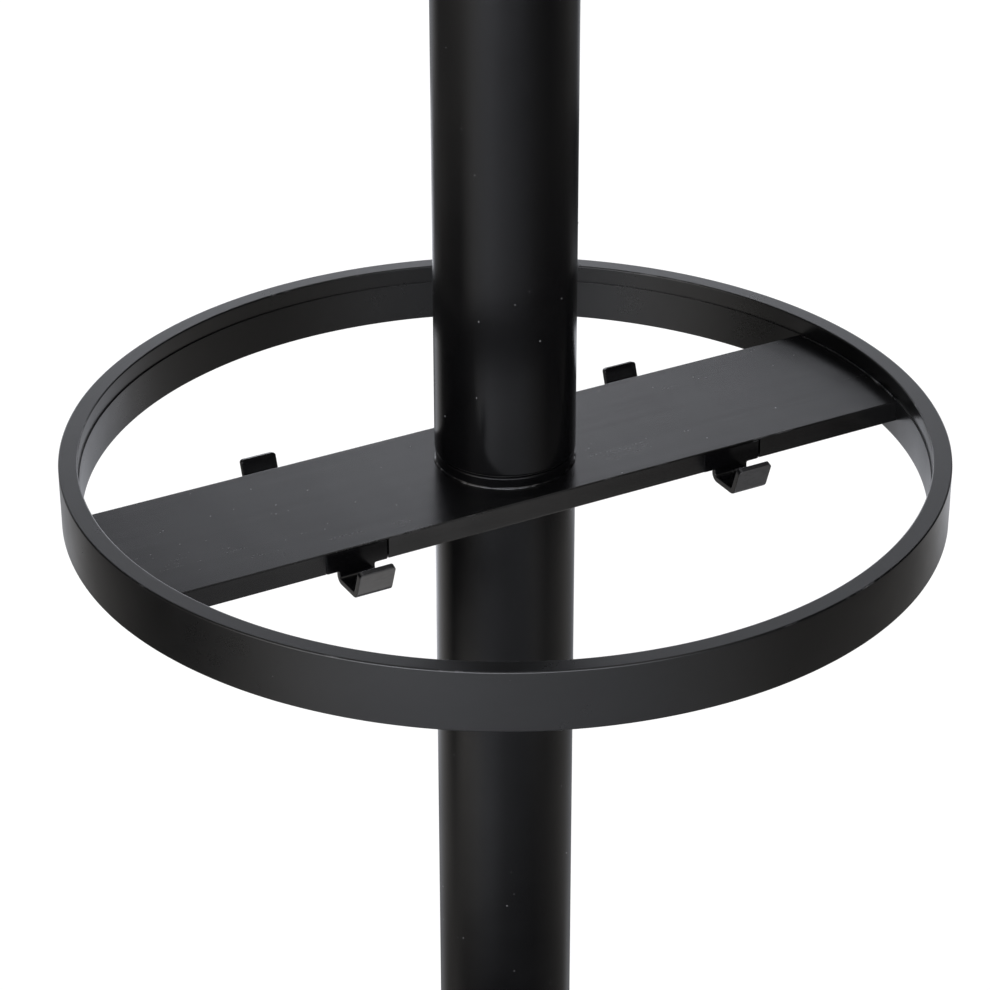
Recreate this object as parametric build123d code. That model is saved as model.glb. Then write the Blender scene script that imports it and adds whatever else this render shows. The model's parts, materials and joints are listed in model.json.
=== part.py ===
from build123d import *
import math
import os

# A free-standing round garment rack: a disc base on four levelling glides, a
# lower post that carries a ring on a crossbar, and an upper post that turns on
# a spindle and carries the coat hook ring. Millimetres, +Z up, crossbars along
# X, origin on the floor in the middle of the base.

# Steel stock
post_radius = 28.0
post_bore = 26.0
bar_thickness = 8.0
bar_height = 24.8
bar_edge = 0.6
plate_thickness = 9.0
plate_width = 72.2
plate_edge = 0.5

# Rings, the same rolled flat bar in both tiers
ring_radius = 176.0
ring_inside = ring_radius - bar_thickness
ring_rebate_depth = 0.45
ring_rebate_height = 7.6
plate_drop = 7.7

# Levels
middle_ring_top = 600.0
middle_plate_top = middle_ring_top - plate_drop
middle_plate_bottom = middle_plate_top - plate_thickness
upper_post_top = 1671.0
top_plate_top = upper_post_top + plate_thickness
top_ring_top = top_plate_top + plate_drop
top_cap_height = 40.0
top_cap_edge = 9.0

# Base
base_plate_radius = 215.0
base_plate_bottom = 12.0
base_plate_top = base_plate_bottom + 8.0
base_plate_edge = 1.0
cover_radius = 220.0
cover_sheet = 1.5
cover_skirt_bottom = 6.0
cover_skirt_top = 24.0
cover_shoulder = (206.0, 34.0)
cover_centre = (30.0, 46.0)
cover_bend = 8.0
cover_hole = 28.4
collar_height = 14.0
collar_radius = 36.0
collar_bore = 28.1
collar_edge = 2.0
collar_screw_radius = 2.5
collar_screw_recess = 1.0
collar_socket_radius = 1.4
collar_socket_depth = 2.5

# Centre fasteners, M12
centre_screw_radius = 6.0
centre_screw_grip = 20.0
centre_screw_clearance = 0.5
base_bolt_flats = 18.0
base_bolt_head = 6.0
plug_height = 30.0
plug_hole_depth = 24.0
washer_thickness = 2.5
base_washer_radius = 15.0

# Levelling glides, M8
glide_circle = 180.0
glide_count = 4
glide_pad_radius = 17.0
glide_pad_height = 7.0
glide_pad_foot_edge = 1.0
glide_pad_top_edge = 2.5
glide_screw_radius = 4.0
glide_screw_top = 31.0
glide_socket_floor = 3.0
glide_nut_gap = 0.5
running_gap = 0.05
weld_nut_height = 6.5
weld_nut_flats = 13.0

# Turning joint at the foot of the upper post
spindle_flange_radius = 27.6
spindle_flange_height = 4.8
spindle_flange_edge = 0.6
spindle_shank_radius = 20.0
spindle_shaft_radius = 12.5
spindle_shaft_length = 185.8
spindle_stud_radius = 8.0
spindle_stud_length = 24.0
spindle_tapping_depth = 22.0
thrust_washer_radius = 26.5
thrust_washer_height = 0.7
lower_bush_length = 30.0
upper_bush_length = 20.0
axial_play = 0.1
post_foot_edge = 0.9
end_bolt_radius = 5.0
end_bolt_grip = 20.0
end_bolt_flats = 16.0
end_bolt_head = 6.4
end_washer_radius = 20.0

# Small hooks in the crossbar's edges
hook_sheet = 2.5
hook_offset = 84.0
hook_head_width = 26.0
hook_width = 15.0
hook_setback = 0.4
hook_head_drop = 1.1
hook_head_bottom = 9.2
hook_depth = 14.6
hook_reach = 12.4
hook_tip = (16.3, -2.1)
hook_bend = 2.3
hook_neck_radius = 1.5
hook_tip_corner = 1.5
pocket_gap = 0.35
pocket_lip = 0.5

# How close a length or place has to be when an edge is picked
match = 0.01

# Coat hooks round the top ring
coat_hook_count = 8
coat_bar_width = 20.0
coat_bar_thickness = 4.0
coat_hook_length = 80.0
coat_hook_reach = 30.0
coat_hook_tip = (44.0, -38.0)
coat_hook_bend = 13.0
coat_hook_tip_corner = 8.0
coat_hook_top_corner = 3.0
hook_screw_radius = 2.5
hook_screw_drops = (7.0, 18.0)
hook_screw_setback = 0.6
hook_screw_head_radius = 4.6
hook_screw_head_height = 2.2


def turned(outline):
    """A solid turned about Z from (radius, height) points."""
    return revolve(Plane.XZ * make_face(Polyline(*outline, close=True)), Axis.Z)


def disc(radius, bottom, top, x=0.0, y=0.0):
    """A solid round bar standing between two levels."""
    height = top - bottom
    return Pos(x, y, bottom + height / 2) * Cylinder(radius, height)


def sleeve(outside, inside, bottom, top):
    """A round bar with a hole through it."""
    return disc(outside, bottom, top) - disc(inside, bottom, top)


def hexagon(flats, bottom, top, x=0.0, y=0.0):
    """A hexagonal prism between two levels, sized across its flats."""
    outline = RegularPolygon(flats / math.sqrt(3), 6)
    return Pos(x, y, bottom) * extrude(outline, top - bottom)


def edges_at(solid, level, radius):
    """The round edges of a turned solid at one level and radius."""
    chosen = solid.edges().filter_by(GeomType.CIRCLE)
    chosen = [e for e in chosen if abs(e.radius - radius) < match]
    return [e for e in chosen if abs(e.center().Z - level) < match]


def radial_bar(level, angle, inner_end, outer_end, radius):
    """A round bar lying along a radius from the post's axis."""
    middle = (inner_end + outer_end) / 2
    bar = Pos(middle, 0, level) * Rot(0, 90, 0) * Cylinder(radius, outer_end - inner_end)
    return Rot(0, 0, angle) * bar


def spots(count, radius, first_angle=0.0):
    """Evenly spaced (angle, x, y) places on a circle."""
    places = []
    for number in range(count):
        angle = first_angle + number * 360.0 / count
        turn = math.radians(angle)
        places.append((angle, radius * math.cos(turn), radius * math.sin(turn)))
    return places


def edges_across(solid, thickness):
    """The edges that run straight through a strip's thickness."""
    return [e for e in solid.edges() if abs(e.length - thickness) < match]


def bent_strip(points, width, thickness, bend):
    """Flat bar bent along points in the XZ plane, bend measured on its centre line."""
    path = Plane.XZ * FilletPolyline(*points, radius=bend)
    section = Plane(origin=path @ 0, x_dir=(0, 1, 0), z_dir=path % 0) * Rectangle(width, thickness)
    return sweep(section, path=path)


# Base


def make_base_plate():
    plate = disc(base_plate_radius, base_plate_bottom, base_plate_top)
    plate = chamfer(plate.edges(), base_plate_edge)
    bolt_hole = centre_screw_radius + centre_screw_clearance
    plate -= disc(bolt_hole, base_plate_bottom, base_plate_top)
    for _, x, y in spots(glide_count, glide_circle, 45.0):
        plate -= disc(glide_screw_radius + running_gap, base_plate_bottom, base_plate_top, x, y)
    return plate


def make_base_cover():
    start = (cover_radius - cover_sheet / 2, cover_skirt_bottom)
    corner = (cover_radius - cover_sheet / 2, cover_skirt_top)
    path = FilletPolyline(start, corner, cover_shoulder, cover_centre, radius=cover_bend)
    shell = revolve(Plane.XZ * trace(path, cover_sheet), Axis.Z)
    return shell - disc(cover_hole, 0, middle_plate_bottom)


def make_foot_collar():
    bottom = cover_centre[1] + cover_sheet / 2
    top = bottom + collar_height
    collar = sleeve(collar_radius, collar_bore, bottom, top)
    collar = fillet(edges_at(collar, top, collar_radius), collar_edge)
    level = (bottom + top) / 2
    return collar - radial_bar(level, 90.0, collar_bore - 1.0, collar_radius + 1.0, collar_screw_radius)


def make_collar_set_screw():
    level = cover_centre[1] + (cover_sheet + collar_height) / 2
    outer_end = collar_radius - collar_screw_recess
    screw = radial_bar(level, 90.0, collar_bore, outer_end, collar_screw_radius)
    socket = extrude(RegularPolygon(collar_socket_radius, 6), collar_socket_depth)
    return screw - Pos(0, outer_end, level) * Rot(90, 0, 0) * socket


def make_lower_post():
    return sleeve(post_radius, post_bore, base_plate_top, middle_plate_bottom)


def make_foot_plug():
    plug = disc(post_bore, base_plate_top, base_plate_top + plug_height)
    return plug - disc(centre_screw_radius, base_plate_top, base_plate_top + plug_hole_depth)


def make_base_washer():
    bottom = base_plate_bottom - washer_thickness
    bore = centre_screw_radius + centre_screw_clearance
    return sleeve(base_washer_radius, bore, bottom, base_plate_bottom)


def make_base_bolt():
    head_top = base_plate_bottom - washer_thickness
    shank = disc(centre_screw_radius, head_top, base_plate_top + centre_screw_grip)
    return shank + hexagon(base_bolt_flats, head_top - base_bolt_head, head_top)


def make_weld_nuts():
    nuts = []
    top = base_plate_top + weld_nut_height
    for _, x, y in spots(glide_count, glide_circle, 45.0):
        nut = hexagon(weld_nut_flats, base_plate_top, top, x, y)
        nuts.append(nut - disc(glide_screw_radius + running_gap, base_plate_top, top, x, y))
    return Compound(children=nuts)


# Levelling glides


def make_glide_pad(x, y):
    pad = disc(glide_pad_radius, 0, glide_pad_height)
    pad = fillet(edges_at(pad, 0, glide_pad_radius), glide_pad_foot_edge)
    pad = fillet(edges_at(pad, glide_pad_height, glide_pad_radius), glide_pad_top_edge)
    pad -= disc(glide_screw_radius, glide_socket_floor, glide_pad_height)
    return Pos(x, y, 0) * pad


def make_glide_screw(x, y):
    screw = disc(glide_screw_radius, glide_socket_floor, glide_screw_top, x, y)
    nut_top = base_plate_bottom - glide_nut_gap
    return screw + hexagon(weld_nut_flats, glide_pad_height, nut_top, x, y)


# Middle tier


def make_ring(top):
    bottom = top - bar_height
    step = top - ring_rebate_height
    upper_inside = ring_inside + ring_rebate_depth
    outline = [
        (ring_inside, bottom),
        (ring_radius, bottom),
        (ring_radius, top),
        (upper_inside, top),
        (upper_inside, step),
        (ring_inside, step),
    ]
    section = make_face(Polyline(*outline, close=True))
    corners = [v for v in section.vertices() if v.Y in (bottom, top)]
    section = fillet(corners, bar_edge)
    return revolve(Plane.XZ * section, Axis.Z)


def make_crossbar(top, bore):
    bottom = top - plate_thickness
    outline = Rectangle(2 * ring_radius, plate_width) & Circle(ring_inside)
    plate = Pos(0, 0, bottom) * extrude(outline, plate_thickness)
    plate = fillet(plate.edges().filter_by(Axis.X), plate_edge)
    return plate - disc(bore, bottom, top)


def make_middle_crossbar():
    plate = make_crossbar(middle_plate_top, spindle_shank_radius)
    width = hook_head_width + 2 * pocket_gap
    depth = 2 * (hook_sheet + hook_setback)
    height = plate_thickness - pocket_lip
    level = middle_plate_bottom + height / 2
    for x in (-hook_offset, hook_offset):
        for y in (-plate_width / 2, plate_width / 2):
            plate -= Pos(x, y, level) * Box(width, depth, height)
    return plate


def make_small_hook(x, side):
    centre = -hook_setback - hook_sheet / 2
    points = [
        (centre, -hook_head_drop),
        (centre, hook_sheet / 2 - hook_depth),
        (hook_reach, hook_sheet / 2 - hook_depth),
        hook_tip,
    ]
    strip = bent_strip(points, hook_width, hook_sheet, hook_bend)
    head_height = hook_head_bottom - hook_head_drop
    head_level = -(hook_head_bottom + hook_head_drop) / 2
    hook = strip + Pos(centre, 0, head_level) * Box(hook_sheet, hook_head_width, head_height)
    neck = [e for e in edges_across(hook, hook_sheet) if is_hook_neck(e)]
    hook = fillet(neck, hook_neck_radius)
    tip = [e for e in edges_across(hook, hook_sheet) if e.center().X > hook_reach]
    hook = fillet(tip, hook_tip_corner)
    turn = 90.0 * side
    return Pos(x, side * plate_width / 2, middle_plate_top) * Rot(0, 0, turn) * hook


def is_hook_neck(edge):
    """Whether an edge is one of the two inner corners under the hook's head."""
    under_head = abs(edge.center().Z + hook_head_bottom) < match
    return under_head and abs(edge.center().Y) < hook_width / 2 + match


# Turning joint


def make_post_head_plug():
    plug = disc(post_bore, middle_plate_bottom - plug_height, middle_plate_bottom)
    hole_bottom = middle_plate_bottom - spindle_stud_length
    return plug - disc(spindle_stud_radius, hole_bottom, middle_plate_bottom)


def make_spindle():
    stud_bottom = middle_plate_bottom - spindle_stud_length
    flange_top = middle_plate_top + spindle_flange_height
    shaft_top = flange_top + spindle_shaft_length
    outline = [
        (0, stud_bottom),
        (spindle_stud_radius, stud_bottom),
        (spindle_stud_radius, middle_plate_bottom),
        (spindle_shank_radius, middle_plate_bottom),
        (spindle_shank_radius, middle_plate_top),
        (spindle_flange_radius, middle_plate_top),
        (spindle_flange_radius, flange_top),
        (spindle_shaft_radius, flange_top),
        (spindle_shaft_radius, shaft_top),
        (0, shaft_top),
    ]
    spindle = turned(outline)
    spindle = fillet(edges_at(spindle, flange_top, spindle_flange_radius), spindle_flange_edge)
    return spindle - disc(end_bolt_radius, shaft_top - spindle_tapping_depth, shaft_top)


def make_thrust_washer():
    bottom = middle_plate_top + spindle_flange_height
    bore = spindle_shaft_radius + running_gap
    return sleeve(thrust_washer_radius, bore, bottom, bottom + thrust_washer_height)


def post_foot():
    """The level of the upper post's lower end, just clear of the thrust washer."""
    flange_top = middle_plate_top + spindle_flange_height
    return flange_top + thrust_washer_height + axial_play


def make_lower_bush():
    foot = post_foot()
    return sleeve(post_bore, spindle_shaft_radius + running_gap, foot, foot + lower_bush_length)


def spindle_end():
    """The level of the spindle's upper end."""
    return middle_plate_top + spindle_flange_height + spindle_shaft_length


def make_upper_bush():
    top = spindle_end() - axial_play
    return sleeve(post_bore, spindle_shaft_radius + running_gap, top - upper_bush_length, top)


def make_retaining_washer():
    return sleeve(end_washer_radius, end_bolt_radius, spindle_end(), spindle_end() + washer_thickness)


def make_retaining_bolt():
    head_bottom = spindle_end() + washer_thickness
    shank = disc(end_bolt_radius, spindle_end() - end_bolt_grip, head_bottom)
    return shank + hexagon(end_bolt_flats, head_bottom, head_bottom + end_bolt_head)


# Turning upper part


def make_upper_post():
    foot = post_foot()
    tube = sleeve(post_radius, post_bore, foot, upper_post_top)
    return fillet(edges_at(tube, foot, post_radius), post_foot_edge)


def make_top_plug():
    plug = disc(post_bore, upper_post_top - plug_height, upper_post_top)
    return plug - disc(centre_screw_radius, upper_post_top - plug_hole_depth, upper_post_top)


def make_cap_stud():
    bottom = upper_post_top - centre_screw_grip
    return disc(centre_screw_radius, bottom, top_plate_top + centre_screw_grip)


def make_top_cap():
    top = top_plate_top + top_cap_height
    cap = disc(post_radius, top_plate_top, top)
    cap = fillet(edges_at(cap, top, post_radius), top_cap_edge)
    return cap - disc(centre_screw_radius, top_plate_top, top_plate_top + plug_hole_depth)


def make_top_ring():
    ring = make_ring(top_ring_top)
    for angle, _, _ in spots(coat_hook_count, ring_radius):
        for drop in hook_screw_drops:
            level = top_ring_top - drop
            ring -= radial_bar(level, angle, ring_inside - 1.0, ring_radius + 1.0, hook_screw_radius)
    return ring


def make_coat_hook(angle):
    centre = coat_bar_thickness / 2
    points = [
        (centre, 0),
        (centre, -coat_hook_length),
        (coat_hook_reach, -coat_hook_length),
        coat_hook_tip,
    ]
    hook = bent_strip(points, coat_bar_width, coat_bar_thickness, coat_hook_bend)
    tip = [e for e in edges_across(hook, coat_bar_thickness) if e.center().X > coat_hook_reach]
    hook = fillet(tip, coat_hook_tip_corner)
    top = [e for e in edges_across(hook, coat_bar_thickness) if abs(e.center().Z) < match]
    hook = fillet(top, coat_hook_top_corner)
    hook = Pos(ring_radius, 0, top_ring_top) * hook
    for drop in hook_screw_drops:
        outer_end = ring_radius + coat_bar_thickness
        hook -= radial_bar(top_ring_top - drop, 0, ring_radius, outer_end, hook_screw_radius)
    return Rot(0, 0, angle) * hook


def make_hook_screws():
    screws = []
    face = ring_radius + coat_bar_thickness
    for angle, _, _ in spots(coat_hook_count, ring_radius):
        for drop in hook_screw_drops:
            level = top_ring_top - drop
            shank = radial_bar(level, angle, ring_inside + hook_screw_setback, face, hook_screw_radius)
            head_end = face + hook_screw_head_height
            head = radial_bar(level, angle, face, head_end, hook_screw_head_radius)
            screws.append(shank + head)
    return Compound(children=screws)


parts = {
    "base_plate": make_base_plate(),
    "base_cover": make_base_cover(),
    "foot_collar": make_foot_collar(),
    "collar_set_screw": make_collar_set_screw(),
    "lower_post": make_lower_post(),
    "foot_plug": make_foot_plug(),
    "base_washer": make_base_washer(),
    "base_bolt": make_base_bolt(),
    "weld_nuts": make_weld_nuts(),
    "middle_ring": make_ring(middle_ring_top),
    "middle_crossbar": make_middle_crossbar(),
    "small_hook_front_left": make_small_hook(-hook_offset, -1),
    "small_hook_front_right": make_small_hook(hook_offset, -1),
    "small_hook_back_left": make_small_hook(-hook_offset, 1),
    "small_hook_back_right": make_small_hook(hook_offset, 1),
    "post_head_plug": make_post_head_plug(),
    "spindle": make_spindle(),
    "thrust_washer": make_thrust_washer(),
    "lower_bush": make_lower_bush(),
    "upper_bush": make_upper_bush(),
    "retaining_washer": make_retaining_washer(),
    "retaining_bolt": make_retaining_bolt(),
    "upper_post": make_upper_post(),
    "top_plug": make_top_plug(),
    "cap_stud": make_cap_stud(),
    "top_crossbar": make_crossbar(top_plate_top, centre_screw_radius + centre_screw_clearance),
    "top_ring": make_top_ring(),
    "top_cap": make_top_cap(),
    "hook_screws": make_hook_screws(),
}

for number, (_, x, y) in enumerate(spots(glide_count, glide_circle, 45.0), start=1):
    parts[f"glide_{number}_pad"] = make_glide_pad(x, y)
    parts[f"glide_{number}_screw"] = make_glide_screw(x, y)

for number, (angle, _, _) in enumerate(spots(coat_hook_count, ring_radius), start=1):
    parts[f"coat_hook_{number}"] = make_coat_hook(angle)

os.makedirs("parts", exist_ok=True)
for name, solid in parts.items():
    export_step(solid, f"parts/{name}.step")
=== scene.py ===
import json
import math
import random

import bpy
from mathutils import Matrix, Vector, noise


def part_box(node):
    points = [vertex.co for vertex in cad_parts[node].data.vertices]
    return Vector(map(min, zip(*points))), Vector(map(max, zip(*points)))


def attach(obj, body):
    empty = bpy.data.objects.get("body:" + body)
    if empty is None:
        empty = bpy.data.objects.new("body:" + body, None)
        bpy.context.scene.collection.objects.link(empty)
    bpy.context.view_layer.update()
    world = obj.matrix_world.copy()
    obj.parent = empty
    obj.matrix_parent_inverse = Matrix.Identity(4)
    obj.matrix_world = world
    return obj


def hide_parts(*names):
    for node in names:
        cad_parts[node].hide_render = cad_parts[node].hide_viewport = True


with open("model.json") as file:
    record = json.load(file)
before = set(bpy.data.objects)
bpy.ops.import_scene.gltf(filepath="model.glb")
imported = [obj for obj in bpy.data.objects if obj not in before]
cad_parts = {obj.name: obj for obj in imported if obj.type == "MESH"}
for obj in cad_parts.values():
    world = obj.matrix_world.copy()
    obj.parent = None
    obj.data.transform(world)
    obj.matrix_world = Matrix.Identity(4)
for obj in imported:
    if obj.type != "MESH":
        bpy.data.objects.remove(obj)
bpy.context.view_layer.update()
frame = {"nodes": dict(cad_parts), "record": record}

TAU = 2 * math.pi


# ---------------------------------------------------------------- places from the frame

def low(node):
    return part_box(node)[0]


def high(node):
    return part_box(node)[1]


RING_RADIUS = high("middle_ring").x
RIM_LEVEL = high("middle_ring").z
PLATE_TOP = high("middle_crossbar").z
PLATE_BOTTOM = low("middle_crossbar").z
PLATE_HALF_WIDTH = high("middle_crossbar").y
POST_RADIUS = high("upper_post").x
POST_FOOT = low("upper_post").z
TOP_PLATE_TOP = high("top_crossbar").z
TOP_PLATE_BOTTOM = low("top_crossbar").z
TOP_RIM_LEVEL = high("top_ring").z

# Sizes the frame's boxes can't give
BAR_THICKNESS = 0.008
POST_BORE = 0.026
RING_INSIDE = RING_RADIUS - BAR_THICKNESS


# ---------------------------------------------------------------- material helpers

def new_material(name):
    """A material with an empty node tree, and that tree."""
    material = bpy.data.materials.new(name)
    material.use_nodes = True
    tree = material.node_tree
    tree.nodes.clear()
    return material, tree


def node(tree, kind, **settings):
    """Adds one shader node. Settings named in_X set the input X."""
    made = tree.nodes.new(kind)
    for key, value in settings.items():
        if key.startswith("in_"):
            made.inputs[key[3:].replace("_", " ")].default_value = value
        else:
            setattr(made, key, value)
    return made


def link(tree, source, target):
    tree.links.new(source, target)


def noise_field(tree, place, scale, detail=2.0, roughness=0.5):
    """Noise whose scale is the number of features per metre."""
    field = node(tree, "ShaderNodeTexNoise", in_Scale=scale, in_Detail=detail, in_Roughness=roughness)
    link(tree, place, field.inputs["Vector"])
    return field.outputs["Fac"]


def stretched(tree, place, scale):
    """The same place measured with another scale along each axis."""
    made = node(tree, "ShaderNodeMapping")
    made.inputs["Scale"].default_value = scale
    link(tree, place, made.inputs["Vector"])
    return made.outputs["Vector"]


def ramp(tree, value, low_in, high_in, low_out, high_out):
    """Maps a value from one range to another and holds it there."""
    made = node(tree, "ShaderNodeMapRange", clamp=True)
    link(tree, value, made.inputs["Value"])
    numbers = (low_in, high_in, low_out, high_out)
    for label, number in zip(("From Min", "From Max", "To Min", "To Max"), numbers):
        made.inputs[label].default_value = number
    return made.outputs["Result"]


def calc(tree, operation, *sides):
    """A maths node; each side is a number or a socket."""
    made = node(tree, "ShaderNodeMath", operation=operation)
    for index, side in enumerate(sides):
        if isinstance(side, (int, float)):
            made.inputs[index].default_value = side
        else:
            link(tree, side, made.inputs[index])
    return made.outputs[0]


def mix_colour(tree, factor, first, second):
    """Blends two colours; each is a tuple or a socket."""
    made = node(tree, "ShaderNodeMix", data_type="RGBA")
    link(tree, factor, made.inputs["Factor"])
    for label, colour in (("A", first), ("B", second)):
        socket = next(s for s in made.inputs if s.name == label and s.type == "RGBA")
        if isinstance(colour, tuple):
            socket.default_value = (*colour, 1.0)
        else:
            link(tree, colour, socket)
    return next(s for s in made.outputs if s.type == "RGBA")


def bump(tree, height, distance, strength, normal=None):
    """A bumped normal, laid over another one if that is given."""
    made = node(tree, "ShaderNodeBump", in_Strength=strength, in_Distance=distance)
    link(tree, height, made.inputs["Height"])
    if normal is not None:
        link(tree, normal, made.inputs["Normal"])
    return made.outputs["Normal"]


def object_place(tree):
    return node(tree, "ShaderNodeTexCoord").outputs["Object"]


def split(tree, vector):
    """The X, Y and Z outputs of a vector socket."""
    parts = node(tree, "ShaderNodeSeparateXYZ")
    link(tree, vector, parts.inputs[0])
    return parts.outputs["X"], parts.outputs["Y"], parts.outputs["Z"]


def face_direction(tree):
    """The X, Y and Z of the true normal, without bumps."""
    return split(tree, node(tree, "ShaderNodeNewGeometry").outputs["True Normal"])


def finish_surface(tree, colour, roughness, normal, **settings):
    """Joins a principled surface to the material's output and returns it."""
    surface = node(tree, "ShaderNodeBsdfPrincipled", **settings)
    link(tree, colour, surface.inputs["Base Color"])
    link(tree, roughness, surface.inputs["Roughness"])
    link(tree, normal, surface.inputs["Normal"])
    output = node(tree, "ShaderNodeOutputMaterial")
    link(tree, surface.outputs["BSDF"], output.inputs["Surface"])
    return surface


# ---------------------------------------------------------------- materials

COAT_COLOUR = (0.0022, 0.0022, 0.0026)
CLOUDED_COAT_COLOUR = tuple(1.7 * channel for channel in COAT_COLOUR)
DUST_COLOUR = (0.34, 0.34, 0.36)
# Lighter edges: partly worn coat, partly a painted highlight along the edges
WEAR_AND_HIGHLIGHT_COLOUR = (0.10, 0.10, 0.105)
# Painted highlight: a lighter grey on the outward face of each small hook's lip
LIP_HIGHLIGHT_COLOUR = (0.057, 0.057, 0.060)
ZINC_COLOUR = (0.42, 0.43, 0.45)
PASSIVATED_COLOUR = (0.62, 0.61, 0.58)
# Noise mostly stays between these values, so ramps stretch from one to the other
NOISE_LOW = 0.3
NOISE_HIGH = 0.7
# Dust: cells per metre, a speck's outer and inner radius in cells, and the share that is left out
DUST_CELLS = 95.0
SPECK_OUTER = 0.026
SPECK_INNER = 0.016
DUST_LEFT_OUT = 0.93
# The coat's textures in features per metre, and the height of its bumps in metres
CLOUD_SCALE = 30.0
GRAIN_SCALE = 1100.0
WAVE_SCALE = 38.0
PEEL_SCALE = 520.0
WEAR_AND_HIGHLIGHT_SCALE = 40.0
WAVE_HEIGHT = 0.0002
PEEL_HEIGHT = 0.00002
GRAIN_ROUGHNESS = 0.01
CLOUD_SHINE = 0.06
# Where the crossbar's sheen starts to fade on the way out to the ring, and where it ends
SHEEN_INNER = 0.045
SHEEN_OUTER = 0.170


def dust_mask(tree, place, amount):
    """A few small round specks, each at the middle of a random cell."""
    cells = node(tree, "ShaderNodeTexVoronoi", in_Scale=DUST_CELLS, in_Randomness=1.0)
    link(tree, place, cells.inputs["Vector"])
    speck = ramp(tree, cells.outputs["Distance"], SPECK_OUTER, SPECK_INNER, 0.0, 1.0)
    chosen = node(tree, "ShaderNodeSeparateColor")
    link(tree, cells.outputs["Color"], chosen.inputs["Color"])
    rare = ramp(tree, chosen.outputs["Red"], DUST_LEFT_OUT, DUST_LEFT_OUT + 0.02, 0.0, amount)
    return calc(tree, "MULTIPLY", speck, rare)


def edge_wear_and_highlight(tree, place, amount):
    """Lighter places on edges, partly rubbed-thin coat and partly a painted highlight along the edges:
    faces that lean between upright and level, broken up by noise.
    """
    lying = calc(tree, "POWER", face_direction(tree)[2], 2.0)
    lean = calc(tree, "MULTIPLY", lying, calc(tree, "SUBTRACT", 1.0, lying))
    edge = ramp(tree, lean, 0.02, 0.10, 0.0, 1.0)
    patches = noise_field(tree, place, WEAR_AND_HIGHLIGHT_SCALE, 5.0, 0.7)
    return calc(tree, "MULTIPLY", edge, ramp(tree, patches, 0.58, 0.68, 0.0, amount))


def uneven_sheen(tree, place, shine, level, upright, ends):
    """Scales the sheen on level faces, on upright faces and out at the crossbar's ends."""
    out = calc(tree, "ABSOLUTE", split(tree, place)[0])
    shine = calc(tree, "MULTIPLY", shine, ramp(tree, out, SHEEN_INNER, SHEEN_OUTER, 1.0, ends))
    lying = calc(tree, "ABSOLUTE", face_direction(tree)[2])
    return calc(tree, "MULTIPLY", shine, ramp(tree, lying, 0.3, 0.7, upright, level))


def drawn_streaks(tree, place, rough, shine, streak):
    """Fine lines along a drawn plate, with broad bands across it; returns roughness and sheen."""
    lines = noise_field(tree, stretched(tree, place, (9.0, 260.0, 260.0)), 1.0, 4.0, 0.6)
    across = noise_field(tree, stretched(tree, place, (60.0, 14.0, 14.0)), 1.0, 3.0, 0.6)
    rough = calc(tree, "ADD", rough, ramp(tree, lines, NOISE_LOW, NOISE_HIGH, -streak, streak))
    bands = calc(tree, "MULTIPLY", ramp(tree, lines, NOISE_LOW, NOISE_HIGH, 0.90, 1.10),
                 ramp(tree, across, NOISE_LOW, NOISE_HIGH, 0.93, 1.07))
    return rough, calc(tree, "MULTIPLY", shine, bands)


def powder_coat(name, roughness, mottle, wave, dust, peel=0.0, streak=0.0, gleam=0.5, wear_and_highlight=0.0,
                depth=1.5, level=1.0, upright=1.0, ends=1.0):
    """Black powder coat: waviness, orange peel, cloudy sheen, a little dust, and edge wear with a painted
    highlight along the edges.

    gleam is the sheen's strength and depth its index of refraction; level, upright and ends
    scale the sheen by the way that a face lies and by its place along the crossbar.
    """
    material, tree = new_material(name)
    place = object_place(tree)
    clouds = noise_field(tree, place, CLOUD_SCALE, 4.0, 0.6)
    grain = noise_field(tree, place, GRAIN_SCALE, 2.0)
    rough = calc(tree, "ADD",
                 ramp(tree, clouds, NOISE_LOW, NOISE_HIGH, roughness - mottle, roughness + mottle),
                 ramp(tree, grain, NOISE_LOW, NOISE_HIGH, -GRAIN_ROUGHNESS, GRAIN_ROUGHNESS))
    shine = ramp(tree, clouds, NOISE_LOW, NOISE_HIGH,
                 (1 + CLOUD_SHINE) * gleam, (1 - CLOUD_SHINE) * gleam)
    if (level, upright, ends) != (1.0, 1.0, 1.0):
        shine = uneven_sheen(tree, place, shine, level, upright, ends)
    if streak:
        rough, shine = drawn_streaks(tree, place, rough, shine, streak)
    tint = mix_colour(tree, clouds, COAT_COLOUR, CLOUDED_COAT_COLOUR)
    if wear_and_highlight:
        # Edges are mixed towards a lighter grey: partly wear, partly a painted highlight
        tint = mix_colour(tree, edge_wear_and_highlight(tree, place, wear_and_highlight), tint, WEAR_AND_HIGHLIGHT_COLOUR)
    tint = mix_colour(tree, dust_mask(tree, place, dust), tint, DUST_COLOUR)
    normal = bump(tree, noise_field(tree, place, WAVE_SCALE, 1.0), WAVE_HEIGHT, wave)
    if peel:
        normal = bump(tree, noise_field(tree, place, PEEL_SCALE, 1.0), PEEL_HEIGHT, peel, normal)
    surface = finish_surface(tree, tint, rough, normal, in_IOR=depth)
    link(tree, shine, surface.inputs["Specular IOR Level"])
    return material


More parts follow.
